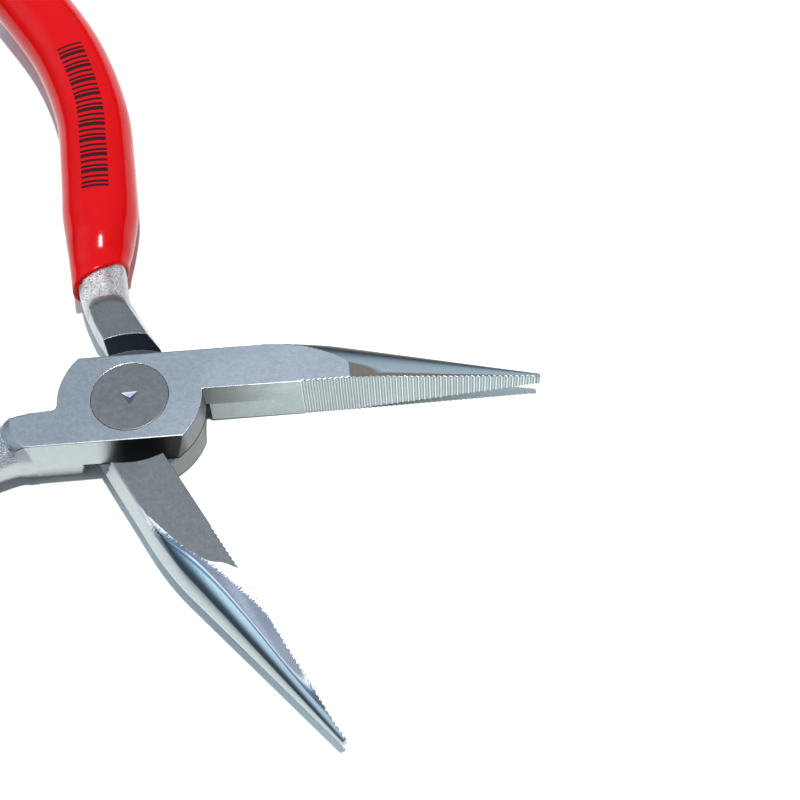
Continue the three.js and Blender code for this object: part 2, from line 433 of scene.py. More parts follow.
# ---------------------------------------------------------------- meshes
# The forgings' grid: fine at the teeth along X, at the gripping face along Y, and at the flats and the
# lap faces along Z.
GRID = (
    spaced((-29.03, -27, 0.5), (-27, -10, 0.22), (-10, 12.2, 0.27), (12.2, 26.3, 0.35),
           (26.3, REACH + 0.35, TOOTH_PITCH / 7)),
    spaced((-13.9, -9.3, 0.4), (-9.3, -0.35, 0.28), (-0.35, 1.25, 0.09), (1.25, 9.31, 0.28)),
    spaced((-5.07, -4.43, 0.08), (-4.43, -0.25, 0.3), (-0.25, 0.31, 0.08), (0.31, 4.43, 0.3),
           (4.43, 5.07, 0.08)),
)


def half_to_row(side):
    """Matrix from the half frame in millimetres to the row frame in metres, for one of the two halves."""
    turned_over = 0 if side == "upper" else math.pi
    swing = OPEN_ANGLE / 2 if side == "upper" else -OPEN_ANGLE / 2
    turned = Matrix.Rotation(swing, 4, "Z") @ Matrix.Rotation(turned_over, 4, "X")
    return Matrix.Scale(MM, 4) @ Matrix.Translation((0, 0, TOP)) @ turned


def store(mesh, name, values):
    """Keeps one number or one vector for each vertex, for the materials."""
    kind = "FLOAT" if values.ndim == 1 else "FLOAT_VECTOR"
    attribute = mesh.attributes.new(name, kind, "POINT")
    attribute.data.foreach_set("value" if values.ndim == 1 else "vector", values.astype(np.float32).ravel())


def piece_from(name, points, faces, matrix, material, body, node):
    """A smooth-shaded piece from half-frame points, which it keeps as its spot attribute."""
    mesh = bpy.data.meshes.new(name)
    placed = points @ np.array(matrix.to_3x3()).T + np.array(matrix.translation)
    mesh.from_pydata(placed.tolist(), [], [list(f) for f in faces])
    mesh.validate()
    store(mesh, "spot", points)
    mesh.shade_smooth()
    mesh.materials.append(material)
    piece = bpy.data.objects.new(name, mesh)
    bpy.context.scene.collection.objects.link(piece)
    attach(piece, body)
    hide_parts(node)
    return piece


def tube(stations, sides, squareness):
    """Closed tube along the centre line from (distance, half width, half height) stations."""
    stations = np.array(stations, float)
    point, tangent = on_line(stations[:, 0])
    side = np.stack([tangent[:, 1], -tangent[:, 0]], 1)
    turn = np.arange(sides) * 2 * math.pi / sides
    power = 2 / squareness
    across = np.sign(np.cos(turn)) * np.abs(np.cos(turn)) ** power
    up = np.sign(np.sin(turn)) * np.abs(np.sin(turn)) ** power
    plan = point[:, None] + side[:, None] * (stations[:, 1:2] * across)[:, :, None]
    rings = np.dstack([plan, stations[:, 2:3] * up])
    points = np.vstack([rings.reshape(-1, 3), [[*point[0], 0], [*point[-1], 0]]])
    faces = []
    for i in range(len(stations) - 1):
        for j in range(sides):
            a, b = i * sides + j, i * sides + (j + 1) % sides
            faces.append((a, a + sides, b + sides, b))
    last = (len(stations) - 1) * sides
    for j in range(sides):
        faces.append((j, (j + 1) % sides, len(points) - 2))
        faces.append((last + j, len(points) - 1, last + (j + 1) % sides))
    return points, faces


def tang_sizes(distance, grow=0.0):
    """Half width and half height of the tang at a distance along the handle, made larger by grow."""
    share = np.clip((distance - GRIP_START) / (HANDLE_LENGTH - GRIP_START), 0, 1)
    half = (TANG_WIDTH + (TANG_END_WIDTH - TANG_WIDTH) * share) / 2
    return half + grow, half * GRIP_FLATNESS + grow


def plain_object(name, points, faces):
    """An object for a boolean, which is removed after it."""
    mesh = bpy.data.meshes.new(name)
    mesh.from_pydata(points.tolist(), [], [list(f) for f in faces])
    mesh.validate()
    made = bpy.data.objects.new(name, mesh)
    bpy.context.scene.collection.objects.link(made)
    return made


def with_tang(points, faces):
    """The forging joined with the plain tang that runs on inside the grip."""
    distances = np.linspace(GRIP_START + TANG_OVERLAP, HANDLE_LENGTH - TANG_SHORTFALL, 30)
    stations = [(d, *tang_sizes(d, -TANG_INSET)) for d in distances]
    head = plain_object("head", points, faces)
    tang = plain_object("tang", *tube(stations, 24, SHANK_SQUARENESS))
    union = head.modifiers.new("union", "BOOLEAN")
    union.operation = "UNION"
    union.solver = "MANIFOLD"
    union.object = tang
    done = head.evaluated_get(bpy.context.evaluated_depsgraph_get()).to_mesh()
    co = np.zeros(len(done.vertices) * 3)
    done.vertices.foreach_get("co", co)
    joined = [tuple(p.vertices) for p in done.polygons]
    bpy.data.objects.remove(head)
    bpy.data.objects.remove(tang)
    return co.reshape(-1, 3), joined


def roughen_shank(points, normals):
    """Hammered dents on the forged shank, between the ground neck and the grip."""
    behind = neck_end_distance(points[:, 0], points[:, 1])
    amount = step_up((behind - DENTS_START) / DENTS_FADE) * (points[:, 0] > DENTS_END_X)
    moved = points.copy()
    for i in np.flatnonzero(amount > 0):
        p = Vector(points[i])
        fine_dent = noise.noise(p * FINE_DENTS_PER_MM + Vector((7, 3, 1)))
        dent = noise.noise(p * DENTS_PER_MM) + FINE_DENT_SHARE * fine_dent
        moved[i] += normals[i] * (DENT_DEPTH * amount[i] * dent)
    return moved


def build_half(side, material):
    """One forging, which ahead of its hammered shank shades by its field's own normals."""
    def field(x, y, z):
        return forging_field(x, y, z, GRINDS[side])

    points, faces = surface_net(field, GRID)
    points = settle(field, points)
    points, faces = with_tang(points, faces)
    slope = gradient(field, points)
    normals = slope / np.maximum(np.linalg.norm(slope, axis=1, keepdims=True), 1e-9)
    shaped = roughen_shank(points, normals)
    piece = piece_from(f"{side}_forging", shaped, faces, half_to_row(side), material,
                       f"{side}_half", f"{side}_jaw_half")
    mesh = piece.data
    shading = np.zeros(len(mesh.vertices) * 3, np.float32)
    mesh.vertices.foreach_get("normal", shading)
    shading = shading.reshape(-1, 3)
    turned = normals @ np.array(half_to_row(side).to_3x3().normalized()).T
    ahead = points[:, 0] > FIELD_NORMALS_X
    shading[ahead] = turned[ahead]
    mesh.normals_split_custom_set_from_vertices(shading.tolist())
    store_zones(mesh, points, normals, GRINDS[side])


def store_zones(mesh, points, normals, grind):
    """Smooth measures of where each vertex lies, from which the steel's materials find their finishes."""
    x, y, z = points.T
    radius = np.hypot(x, y)
    height = np.abs(z)
    depth, nose_height = nose_size(x, grind["taper"])
    bite = (x > LUG_RADIUS) & (normals[:, 1] < -0.3)
    store(mesh, "bite", bite.astype(float))
    store(mesh, "nose", ((x > SHARP_EDGE_X) & ~bite).astype(float))
    store(mesh, "share", (y - FACE_GAP_TIP) / depth)
    store(mesh, "level", height / nose_height)
    store(mesh, "ridge", np.clip(facet_field(x, y, z, grind) - cone_field(x, y, z, grind), -1, 1))
    store(mesh, "wall", y - WALL_MID + LEAN * height)
    store(mesh, "behind", neck_end_distance(x, y))
    store(mesh, "lap", ((radius < RECESS_RADIUS + 0.06) & (z < LAP_Z + 0.03)).astype(float))
    # Painted shade: darkest in the joint's corner, less in the bend after it, and on the lug's rim.
    corner_shade = stretch(x, CORNER_SHADE_X) * (y < CORNER_SHADE_Y)
    bend = BEND_SHADE * stretch(x, BEND_SHADE_X) * (normals[:, 1] < 0.2)
    shaded = np.maximum(corner_shade, bend) * (z > 0)
    rim = RIM_SHADE * (np.abs(radius - LUG_RADIUS) < RIM_SHADE_REACH) * (np.abs(y) < WALL_TOP)
    store(mesh, "painted_shade", np.maximum(shaded, rim))


def grip_stations():
    """Outer coat from the rolled front lip to the round end, after the bore back out of the mouth."""
    swell = GRIP_WIDTH / 2
    front = GRIP_FRONT_WIDTH / 2
    swell_start = GRIP_START + GRIP_LIP
    swell_end = GRIP_START + GRIP_SWELL_LENGTH
    round_start = HANDLE_LENGTH + GRIP_END_COVER - GRIP_ROUND
    bore_end = HANDLE_LENGTH - TANG_SHORTFALL + TANG_END_GAP
    rows = [(bore_end, 0.02, 0.02)]
    for d in np.linspace(bore_end, GRIP_START + 0.6, 36):
        rows.append((d, *tang_sizes(d, GRIP_BORE_GAP)))
    inner_w, inner_h = tang_sizes(GRIP_START, GRIP_BORE_GAP)
    for turn in np.linspace(0.15, 1, 8) * math.pi:
        share = (1 - math.cos(turn)) / 2
        distance = GRIP_START + GRIP_LIP * (1 - math.sin(turn))
        rows.append((distance, inner_w + (front - inner_w) * share,
                     inner_h + (front * GRIP_FLATNESS - inner_h) * share))
    for share in np.linspace(0.06, 1, 26):
        half = front + (swell - front) * step_up(share)
        risen = step_up((share * GRIP_SWELL_LENGTH - GRIP_RISE_START) / GRIP_RISE_LENGTH)
        rise = front + (swell - front) * risen
        rows.append((swell_start + (swell_end - swell_start) * share, half, rise * GRIP_FLATNESS))
    for share in np.linspace(0.02, 1, 60):
        half = swell - GRIP_WAIST * math.sin(1.5 * math.pi * share)
        rows.append((swell_end + (round_start - swell_end) * share, half, half * GRIP_FLATNESS))
    for turn in np.linspace(0.05, 0.99, 14) * math.pi / 2:
        half = (swell + GRIP_WAIST) * math.cos(turn)
        rows.append((round_start + GRIP_ROUND * math.sin(turn), half, half * GRIP_FLATNESS))
    return rows


def build_grip(side, material):
    """One dipped grip: its front edge runs slantwise, and its coat is a little thicker on one side."""
    stations = grip_stations()
    sides = 72
    points, faces = tube(stations, sides, GRIP_SQUARENESS)
    along = np.repeat([s[0] for s in stations], sides)
    half_width = np.repeat([s[1] for s in stations], sides)
    around = np.tile(np.arange(sides) * 2 * math.pi / sides, len(stations))
    across = np.cos(around) * half_width
    fade = step_up(1 - (along - GRIP_START) / GRIP_FRONT_FADE)
    tangent = on_line(along)[1]
    shift = (GRIP_FRONT_SHIFT - GRIP_FRONT_SLANT * across) * fade
    points[:len(along), :2] += tangent * shift[:, None]
    coat = np.clip((half_width - TANG_WIDTH / 2 - COAT_OFFSET_START) / COAT_OFFSET_FADE, 0, 1)
    sideways = np.stack([tangent[:, 1], -tangent[:, 0]], 1)
    points[:len(along), :2] += sideways * (GRIP_OFFSET * coat)[:, None]
    piece = piece_from(f"{side}_dipped_grip", points, faces, half_to_row(side), material,
                       f"{side}_half", f"{side}_grip")
    store(piece.data, "along", np.concatenate([along, [stations[0][0], stations[-1][0]]]))
    store(piece.data, "across", np.concatenate([across, [0, 0]]))
    return piece


def build_rivet(material):
    """A flush rivet with a rounded rim and a three-sided punch mark in its upper head."""
    sides = 96
    face = TOP - RIVET_SUNK
    seat = TOP - RIVET_HEAD_DEPTH + RIVET_HEAD_CLEARANCE
    head = [(RIVET_RADIUS - RIVET_RIM, face), (RIVET_RADIUS - RIVET_RIM_IN, TOP - RIVET_RIM_DOWN),
            (RIVET_RADIUS, TOP - RIVET_RIM), (RIVET_RADIUS, seat), (RIVET_SHANK_RADIUS, seat)]
    rings = np.linspace(RIVET_FIRST_RING, RIVET_RADIUS - RIVET_RIM, 44)[:-1]
    flat = [(r, face) for r in rings]
    profile = flat + head + [(r, -height) for r, height in reversed(head)]
    points, faces = [], []
    for radius, height in profile:
        for j in range(sides):
            turn = 2 * math.pi * j / sides
            points.append((radius * math.cos(turn), radius * math.sin(turn), height))
    for i in range(len(profile) - 1):
        for j in range(sides):
            a, b = i * sides + j, i * sides + (j + 1) % sides
            faces.append((a, a + sides, b + sides, b))
    points += [(0, 0, face), (0, 0, -face)]
    last = (len(profile) - 1) * sides
    for j in range(sides):
        faces.append((j, (j + 1) % sides, len(points) - 2))
        faces.append((last + (j + 1) % sides, last + j, len(points) - 1))
    points = np.array(points)
    top_side = points[:, 2] > TOP - 2 * RIVET_SUNK
    reach = np.max([points[:, 0] * math.cos(t) + points[:, 1] * math.sin(t) for t in DIMPLE_TURNS], axis=0)
    points[:, 2] -= np.where(top_side, DIMPLE_DEPTH * np.clip(1 - reach / DIMPLE_RADIUS, 0, 1), 0)
    piece_from("flush_rivet", points, faces, half_to_row("upper"), material,
               "upper_half", "pivot_rivet")


# ---------------------------------------------------------------- material nodes
class Nodes:
    """Short calls that add nodes to one material or world."""

    def __init__(self, tree):
        self.tree = tree

    def put(self, socket, value):
        if isinstance(value, bpy.types.NodeSocket):
            self.tree.links.new(value, socket)
        elif value is not None:
            socket.default_value = value

    def add(self, kind, inputs=None, **settings):
        node = self.tree.nodes.new(kind)
        for key, value in settings.items():
            setattr(node, key, value)
        for key, value in (inputs or {}).items():
            self.put(node.inputs[key], value)
        return node

    def math(self, operation, a, b=None, c=None):
        node = self.add("ShaderNodeMath", {0: a, 1: b, 2: c}, operation=operation)
        return node.outputs[0]

    def inverse(self, value):
        return self.math("SUBTRACT", 1.0, value)

    def distance(self, a, b):
        return self.math("ABSOLUTE", self.math("SUBTRACT", a, b))

    def dot(self, a, b):
        return self.add("ShaderNodeVectorMath", {0: a, 1: b}, operation="DOT_PRODUCT").outputs["Value"]

    def scaled(self, vector, share):
        node = self.add("ShaderNodeVectorMath", {0: vector, "Scale": share}, operation="SCALE")
        return node.outputs[0]

    def times(self, *values):
        result = values[0]
        for value in values[1:]:
            result = self.math("MULTIPLY", result, value)
        return result

    def plus(self, *values):
        result = values[0]
        for value in values[1:]:
            result = self.math("ADD", result, value)
        return result

    def ramp(self, value, low, high, bottom=0.0, top=1.0):
        """Smoothly from bottom at low to top at high."""
        inputs = {"Value": value, "From Min": low, "From Max": high, "To Min": bottom, "To Max": top}
        node = self.add("ShaderNodeMapRange", inputs, interpolation_type="SMOOTHSTEP")
        return node.outputs["Result"]

    def mix(self, share, a, b):
        """Colour a where share is 0 and b where it is 1."""
        node = self.add("ShaderNodeMix", data_type="RGBA")
        self.put(node.inputs["Factor"], share)
        self.put(node.inputs[6], a)
        self.put(node.inputs[7], b)
        return node.outputs[2]

    def blend(self, share, a, b):
        """Number a where share is 0 and b where it is 1."""
        node = self.add("ShaderNodeMix", data_type="FLOAT")
        self.put(node.inputs["Factor"], share)
        self.put(node.inputs[2], a)
        self.put(node.inputs[3], b)
        return node.outputs[0]

    def attribute(self, name, output="Fac"):
        return self.add("ShaderNodeAttribute", attribute_name=name).outputs[output]

    def parts(self, vector):
        return self.add("ShaderNodeSeparateXYZ", {0: vector}).outputs

    def stretched(self, vector, turn, scale):
        """The vector turned about Z, then scaled."""
        node = self.add("ShaderNodeMapping", {"Vector": vector, "Rotation": (0, 0, turn), "Scale": scale})
        return node.outputs[0]

    def noise(self, vector, scale, detail=2.0, roughness=0.5):
        node = self.add("ShaderNodeTexNoise", {"Vector": vector, "Scale": scale, "Detail": detail,
                                               "Roughness": roughness})
        return node.outputs["Fac"]


def surface(name, **constants):
    """A material with one Principled shader, whose constant sockets are set directly."""
    material = bpy.data.materials.new(name)
    material.use_nodes = True
    shader = material.node_tree.nodes["Principled BSDF"]
    for key, value in constants.items():
        shader.inputs[key.replace("_", " ")].default_value = value
    return material, Nodes(material.node_tree), shader


def colour(rgb):
    return (*rgb, 1.0)


# ---------------------------------------------------------------- materials
# Finishes that vary between a darker and a lighter colour.
WALL_SHADES = ((0.42, 0.45, 0.455), (0.51, 0.54, 0.535))
POLISHED_SHADES = ((0.64, 0.69, 0.74), (0.72, 0.76, 0.80))
FACE_SHADES = ((0.31, 0.35, 0.355), (0.40, 0.44, 0.44))
LAP_SHADES = ((0.055, 0.07, 0.09), (0.12, 0.14, 0.165))
RIVET_SHADES = ((0.21, 0.21, 0.22), (0.235, 0.235, 0.25))
DIP_SHADES = ((0.49, 0.001, 0.002), (0.58, 0.002, 0.003))

# Colours of the marks on those finishes: scratches, print, and painted shade, highlights and reflections.
SCRATCH = (0.72, 0.73, 0.76)
FACET_BACK_SHADE = (0.13, 0.14, 0.17)
FACET_TIP_SHEEN = (0.62, 0.62, 0.70)
GLINT_WHITE = (0.93, 0.93, 0.94)
RIDGE_DARK_REFLECTION = (0.16, 0.18, 0.24)
RIDGE_HIGHLIGHT = (0.93, 0.92, 0.95)
FACE_ROOT_SHADE = (0.14, 0.16, 0.165)
TOOTH_FLANK_SHADE = (0.17, 0.2, 0.215)
TOOTH_GROOVE_LIGHT = (0.47, 0.53, 0.55)
TOOTH_CREST_HIGHLIGHT = (0.86, 0.92, 0.92)
SHANK_OUTSIDE_SHADE = (0.24, 0.25, 0.27)
SHANK_FLECK = (0.17, 0.18, 0.21)
SHANK_ROOT_SHADE = (0.30, 0.29, 0.31)
PAINTED_SHADE_COLOUR = (0.085, 0.082, 0.082)
RIVET_SPECK = (0.35, 0.35, 0.36)
RIVET_SEAM = (0.26, 0.24, 0.23)
RIVET_PIT_REFLECTION = (0.20, 0.23, 0.29)
PRINT = (0.006, 0.004, 0.008)

# Heights of the steel's relief, in millimetres.
BRUSHED_HEIGHT = 0.003
SPECK_HEIGHT = 0.005
SCRATCH_HEIGHT = 0.002
LENGTHWISE_HEIGHT = 0.004
FLECK_HEIGHT = -0.35


def shades(n, share, pair):
    """Between the two colours of a pair, by a share."""
    return n.mix(share, colour(pair[0]), colour(pair[1]))


def two_tones(base, spread):
    """A base colour made darker and lighter by a spread, as a pair."""
    return tuple(tuple((1 + sign * spread) * c for c in base) for sign in (-1, 1))


def bump(n, height_mm):
    """The shading normal over a relief given in millimetres."""
    node = n.add("ShaderNodeBump", {"Height": height_mm, "Distance": MM, "Strength": 1.0})
    return node.outputs[0]


def steel(name, look):
    """Forged steel: ground flats, matte walls, polished nose, toothed face, dark lap and rough shank."""
    material, n, shader = surface(name, Metallic=1.0)
    zone = steel_zones(n, look)
    grain = steel_grain(n, zone, look)
    n.put(shader.inputs["Base Color"], steel_colour(n, zone, grain, look))
    n.put(shader.inputs["Roughness"], steel_roughness(n, zone, grain, look))
    n.put(shader.inputs["Normal"], bump(n, steel_relief(n, zone, grain)))
    return material


def steel_zones(n, look):
    """How much of each finish lies at a point, from the measures that the mesh keeps."""
    spot = n.attribute("spot", "Vector")
    x, y, z = n.parts(spot)
    height = n.math("ABSOLUTE", z)
    share = n.attribute("share")
    level = n.attribute("level")
    ridge = n.attribute("ridge")
    behind = n.attribute("behind")
    wall = n.attribute("wall")
    wall_like = n.math("MAXIMUM", n.ramp(level, WALL_SHARE - 0.02, WALL_SHARE + 0.02, 1.0, 0.0),
                       n.ramp(wall, -0.22, -0.1))
    on_nose = n.times(n.attribute("nose"), n.inverse(wall_like))
    strip = n.ramp(share, look["strip"] - 0.015, look["strip"] + 0.015, 1.0, 0.0)
    facet = n.times(on_nose, n.math("MAXIMUM", n.ramp(ridge, -0.02, 0.02), strip))
    polished = n.times(on_nose, n.inverse(facet))
    # The dull band low on the polished nose and towards its wall: rougher, and painted dark as a reflection.
    low_down = n.ramp(level, look["dull_painted_dark_level"] - 0.06, look["dull_painted_dark_level"] + 0.1, 1.0, 0.0)
    dull_painted_dark = n.times(polished, n.math("MAXIMUM", low_down, n.ramp(wall, -0.8, -0.4)))
    shank = n.times(n.ramp(behind, -0.03, 0.1), n.ramp(height, TOP - 0.006, TOP - 0.003, 1.0, 0.0),
                    n.ramp(height, 1.0, 2.6))
    return SimpleNamespace(
        spot=spot, x=x, y=y, share=share, ridge=ridge, on_nose=on_nose, facet=facet, polished=polished,
        dull_painted_dark=dull_painted_dark, shank=shank, root=n.ramp(behind, 0.1, 3.0, 1.0, 0.0), bite=n.attribute("bite"),
        ground=n.ramp(height, TOP - 0.022, TOP - 0.012), lap=n.attribute("lap"), painted_shade=n.attribute("painted_shade"))


def steel_grain(n, zone, look):
    """The noises that break the finishes up, and the painted glint strip along the lower jaw's edge."""
    spot = zone.spot
    streak = n.noise(n.stretched(spot, 0.5, (5.0, 0.7, 0.7)), 1.0, 3.0, 0.65)
    glint_edge = n.plus(n.times(zone.x, -GLINT_FADE), GLINT_SHARE + GLINT_FADE * GRINDS["lower"]["start"][0],
                        n.ramp(streak, 0.3, 0.7, -0.05, 0.05))
    painted_light = n.times(look["painted_light"], n.ramp(n.math("SUBTRACT", glint_edge, zone.share), -0.03, 0.05))
    return SimpleNamespace(
        streak=streak, painted_light=painted_light, cloud=n.noise(spot, 0.13, 2.0), mottle=n.noise(spot, 1.3, 4.0, 0.65),
        speck=n.noise(spot, 6.5, 2.0, 0.8), fleck=n.noise(spot, 3.6, 2.0, 0.7),
        brushed=n.noise(n.stretched(spot, look["grain"], (1.2, 7.0, 3.0)), 1.0, 4.0, 0.75),
        scratch=n.noise(n.stretched(spot, look["grain"] + 0.6, (0.2, 10.0, 3.0)), 1.0, 3.0, 0.6),
        lengthwise=n.noise(n.stretched(spot, 0.0, (0.15, 6.0, 6.0)), 1.0, 3.0, 0.6))


def ground_colours(n, zone, grain, look):
    """The ground flats, and the facet beside the gripping edge, which share the grinding's tone."""
    tone = n.plus(n.ramp(grain.cloud, 0.3, 0.7, -0.04, 0.04), n.ramp(grain.mottle, 0.3, 0.7, -0.015, 0.02),
                  n.ramp(grain.brushed, 0.3, 0.7, -0.03, 0.03), n.ramp(grain.speck, 0.35, 0.75, -0.02, 0.05),
                  n.ramp(zone.x, -12.0, 28.0, -look["fade"], look["fade"]), 1.0)
    flat = shades(n, n.ramp(tone, 0.8, 1.2), two_tones(look["ground"], 0.2))
    flat = n.mix(n.ramp(grain.scratch, 0.64, 0.72, 0.0, 0.3), flat, colour(SCRATCH))
    streaked = n.plus(tone, n.ramp(grain.streak, 0.3, 0.7, -0.08, 0.1))
    facet = shades(n, n.ramp(streaked, 0.8, 1.2), two_tones(look["inner"], 0.2))
    # Painted shade on the facet's back part, towards the ridge.
    facet = n.mix(n.ramp(zone.share, 0.46, 0.62, 0.0, 0.8), facet, colour(FACET_BACK_SHADE))
    # Painted sheen on the facet towards the tip, on the lower jaw.
    facet = n.mix(n.ramp(zone.x, 42.0, 50.0, 0.0, look["tip_glow"]), facet, colour(FACET_TIP_SHEEN))
    # Painted glint: a bright strip along the lower jaw's gripping edge, with a streaky inner border.
    facet = n.mix(grain.painted_light, facet, colour(GLINT_WHITE))
    return flat, facet


def polished_colour(n, zone, grain, look):
    """The polished back of the nose, a painted dark reflection beside the lower jaw's ridge, and a dull band
    painted dark.
    """
    shade = shades(n, n.ramp(grain.lengthwise, 0.3, 0.7), POLISHED_SHADES)
    # Painted reflection towards the jaw's root: the polish takes this colour there, blue on the lower jaw.
    shade = n.mix(n.ramp(zone.x, 25.0, 36.0), colour(look["polish_root_reflection"]), shade)
    # Painted dark reflection in a thin line beside the lower jaw's ridge.
    beside_ridge = n.ramp(n.distance(zone.ridge, -0.055), 0.015, 0.05, 0.85, 0.0)
    shade = n.mix(n.times(look["painted_light"], beside_ridge), shade, colour(RIDGE_DARK_REFLECTION))
    return n.mix(zone.dull_painted_dark, shade, colour(look["dull_painted_dark"]))


def face_colour(n, zone, grain):
    """The gripping face: painted shade at its root, and painted highlights, light lines and shade on its
    teeth.
    """
    turn = n.math("FRACT", n.math("DIVIDE", n.math("SUBTRACT", zone.x, TOOTHED_START), TOOTH_PITCH))
    wave = n.inverse(n.distance(n.times(turn, 2.0), 1.0))
    toothed = n.times(zone.bite, n.ramp(zone.x, TOOTHED_START - 0.1, TOOTHED_START))
    groove = n.times(toothed, n.ramp(wave, 0.7, 0.9, 0.0, 0.8))
    crest = n.times(toothed, n.ramp(wave, 0.2, 0.06), n.ramp(zone.x, 30.0, 44.0, 0.45, 0.9))
    flank = n.times(toothed, n.ramp(n.distance(wave, 0.45), 0.08, 0.26, 0.75, 0.0))
    patchy = n.plus(n.times(grain.mottle, 0.5), n.times(grain.cloud, 0.5))
    shade = shades(n, n.ramp(patchy, 0.35, 0.65), FACE_SHADES)
    # Painted shade at the root of the gripping face, beside the lug.
    shade = n.mix(n.ramp(zone.x, 11.0, 20.0, 0.45, 0.0), shade, colour(FACE_ROOT_SHADE))
    # Painted shade on the teeth's flanks, painted light lines in their grooves and painted highlights on
    # their crests.
    shade = n.mix(flank, shade, colour(TOOTH_FLANK_SHADE))
    shade = n.mix(groove, shade, colour(TOOTH_GROOVE_LIGHT))
    return n.mix(crest, shade, colour(TOOTH_CREST_HIGHLIGHT))


def shank_colour(n, zone, grain, look):
    """The hammered shank, flecked: painted shade on its outer side, and dull with painted shade at the neck.
    """
    darker = colour([0.82 * c for c in look["shank"]])
    shade = n.mix(grain.mottle, darker, colour(look["shank"]))
    # Painted shade on the shank's outer side.
    outward = n.plus(zone.y, n.times(zone.x, -0.28), -0.1)
    shade = n.mix(n.ramp(outward, -1.8, -0.4, 0.45, 0.0), shade, colour(SHANK_OUTSIDE_SHADE))
    shade = n.mix(n.ramp(grain.fleck, 0.5, 0.6, 0.0, 0.7), shade, colour(SHANK_FLECK))
    # Painted shade where the shank leaves the neck, which is also rougher there.
    return n.mix(zone.root, shade, colour(SHANK_ROOT_SHADE))


def steel_colour(n, zone, grain, look):
    """The finishes' colours over each other, from the matte walls up."""
    flat, facet = ground_colours(n, zone, grain, look)
    # Painted highlight: a thin white line along the lower jaw's ridge.
    on_ridge = n.times(zone.on_nose, n.ramp(n.math("ABSOLUTE", zone.ridge), 0.01, 0.03, 0.85, 0.0))
    ahead = n.times(n.ramp(zone.share, 0.12, 0.2), n.ramp(zone.x, 27.0, 30.0))
    ridge_highlight = n.times(look["painted_light"], on_ridge, ahead)
    shade = shades(n, grain.mottle, WALL_SHADES)
    shade = n.mix(zone.polished, shade, polished_colour(n, zone, grain, look))
    shade = n.mix(zone.facet, shade, facet)
    shade = n.mix(ridge_highlight, shade, colour(RIDGE_HIGHLIGHT))
    shade = n.mix(zone.bite, shade, face_colour(n, zone, grain))
    shade = n.mix(zone.ground, shade, flat)
    shade = n.mix(zone.shank, shade, shank_colour(n, zone, grain, look))
    # Painted shade in the joint's corner, in the bend after it and on the lug's rim, off the ground flats.
    shade = n.mix(n.times(zone.painted_shade, n.inverse(zone.ground)), shade, colour(PAINTED_SHADE_COLOUR))
    return n.mix(zone.lap, shade, shades(n, grain.mottle, LAP_SHADES))


def steel_roughness(n, zone, grain, look):
    """The finishes' roughness, in the same order as their colours."""
    nose = n.ramp(zone.x, 36.0, 54.0, look["inner_roughness"], look["inner_roughness"] - 0.05)
    flat = n.ramp(grain.mottle, 0.25, 0.75, look["roughness"] - 0.03, look["roughness"] + 0.03)
    rough = n.blend(zone.polished, 0.42, n.blend(zone.dull_painted_dark, 0.13, 0.3))
    rough = n.blend(zone.facet, rough, n.blend(grain.painted_light, nose, 0.5))
    rough = n.blend(zone.bite, rough, 0.36)
    rough = n.blend(zone.ground, rough, flat)
    rough = n.blend(zone.shank, rough, n.blend(zone.root, 0.2, 0.4))
    return n.blend(zone.lap, rough, 0.5)


def steel_relief(n, zone, grain):
    """Fine relief in millimetres: grinding marks, polishing lines, hammered flecks and a matte grit."""
    satin = n.math("MAXIMUM", zone.ground, zone.facet)
    matte = n.inverse(n.math("MAXIMUM", satin, zone.polished))
    marks = n.plus(n.times(grain.brushed, BRUSHED_HEIGHT), n.times(grain.speck, SPECK_HEIGHT),
                   n.times(grain.scratch, SCRATCH_HEIGHT))
    return n.plus(n.times(satin, marks), n.times(zone.polished, grain.lengthwise, LENGTHWISE_HEIGHT),
                  n.times(zone.shank, n.inverse(zone.root), grain.fleck, FLECK_HEIGHT),
                  n.times(matte, grain.speck, SPECK_HEIGHT))


def rivet_steel():
    """The rivet's duller turned steel, a fine seam at its rim, and a painted blue reflection in the punch
    mark.
    """
    material, n, shader = surface("rivet_steel", Metallic=1.0)
    spot = n.attribute("spot", "Vector")
    x, y, z = n.parts(spot)
    radius = n.math("SQRT", n.plus(n.times(x, x), n.times(y, y)))
    mottle = n.noise(spot, 1.1, 4.0, 0.65)
    speck = n.noise(spot, 6.0, 2.0, 0.8)
    turned = n.noise(n.add("ShaderNodeCombineXYZ", {0: n.times(radius, 7.0)}).outputs[0], 1.0, 3.0)
    shade = shades(n, n.ramp(mottle, 0.3, 0.7), RIVET_SHADES)
    shade = n.mix(n.ramp(speck, 0.6, 0.75, 0.0, 0.2), shade, colour(RIVET_SPECK))
    seam = n.ramp(radius, RIVET_RADIUS - 0.3, RIVET_RADIUS - 0.05, 0.0, 0.6)
    shade = n.mix(seam, shade, colour(RIVET_SEAM))
    # Painted blue reflection in the punch mark.
    pit = n.times(n.ramp(z, TOP - 0.05, TOP - 0.015, 1.0, 0.0), n.ramp(radius, 1.8, 2.0, 1.0, 0.0))
    shade = n.mix(pit, shade, colour(RIVET_PIT_REFLECTION))
    n.put(shader.inputs["Base Color"], shade)
    rough = n.blend(pit, n.ramp(mottle, 0.3, 0.7, 0.33, 0.38), 0.42)
    n.put(shader.inputs["Roughness"], rough)
    n.put(shader.inputs["Normal"], bump(n, n.plus(n.times(speck, 0.004), n.times(turned, 0.002))))
    return material


